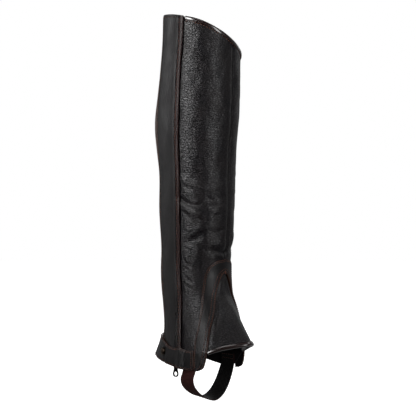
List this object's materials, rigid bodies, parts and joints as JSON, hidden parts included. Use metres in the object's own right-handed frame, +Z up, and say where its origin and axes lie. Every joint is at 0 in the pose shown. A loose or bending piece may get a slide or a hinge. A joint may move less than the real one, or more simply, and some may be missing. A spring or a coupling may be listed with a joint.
{
  "type": "half chap",
  "caption": "Tall leather half chap for the right leg, filled out as worn, with a back zip under a guard, an instep gore, an ankle tab and an elastic strap under the foot.",
  "frame": {"origin": "on the leg's own axis inside the shaft, at the widest part of the calf, where the leg holds the part", "axes": "+Z up along the leg, -Y towards the front of the leg and the toes, -X towards the outer side of the right leg"},
  "size_m": [0.0998, 0.1419, 0.4778],
  "materials": {
    "grained_leather": "satin, pebbled grain",
    "smooth_leather": "satin, fine grain",
    "brown_elastic": "matt, ribbed stretch weave",
    "strap_webbing": "matt, woven elastic",
    "edge_binding": "glossy",
    "zip_tape": "matt, woven tape",
    "dark_metal": "dark gunmetal, satin"
  },
  "bodies": {
    "chap": {"outer_panel": "grained_leather", "inner_panel": "grained_leather", "front_gore": "grained_leather", "zip_guard": "smooth_leather", "ankle_overlay": "smooth_leather", "ankle_tab": "smooth_leather", "elastic_panel": "brown_elastic", "foot_strap": "strap_webbing", "top_binding": "edge_binding", "gore_binding": "edge_binding", "zip_tape_front": "zip_tape", "zip_tape_rear": "zip_tape", "zip_slider": "dark_metal", "snap_cap": "dark_metal"},
    "pull_tab": {"zip_pull": "dark_metal"}
  },
  "joints": [
    {"name": "pull_swing", "type": "hinge", "parent": "chap", "child": "pull_tab", "pos_m": [-0.03748, 0.00488, -0.29469], "axis": [-0.0395, -0.9992, 0], "range_deg": [-28, 4]}
  ]
}
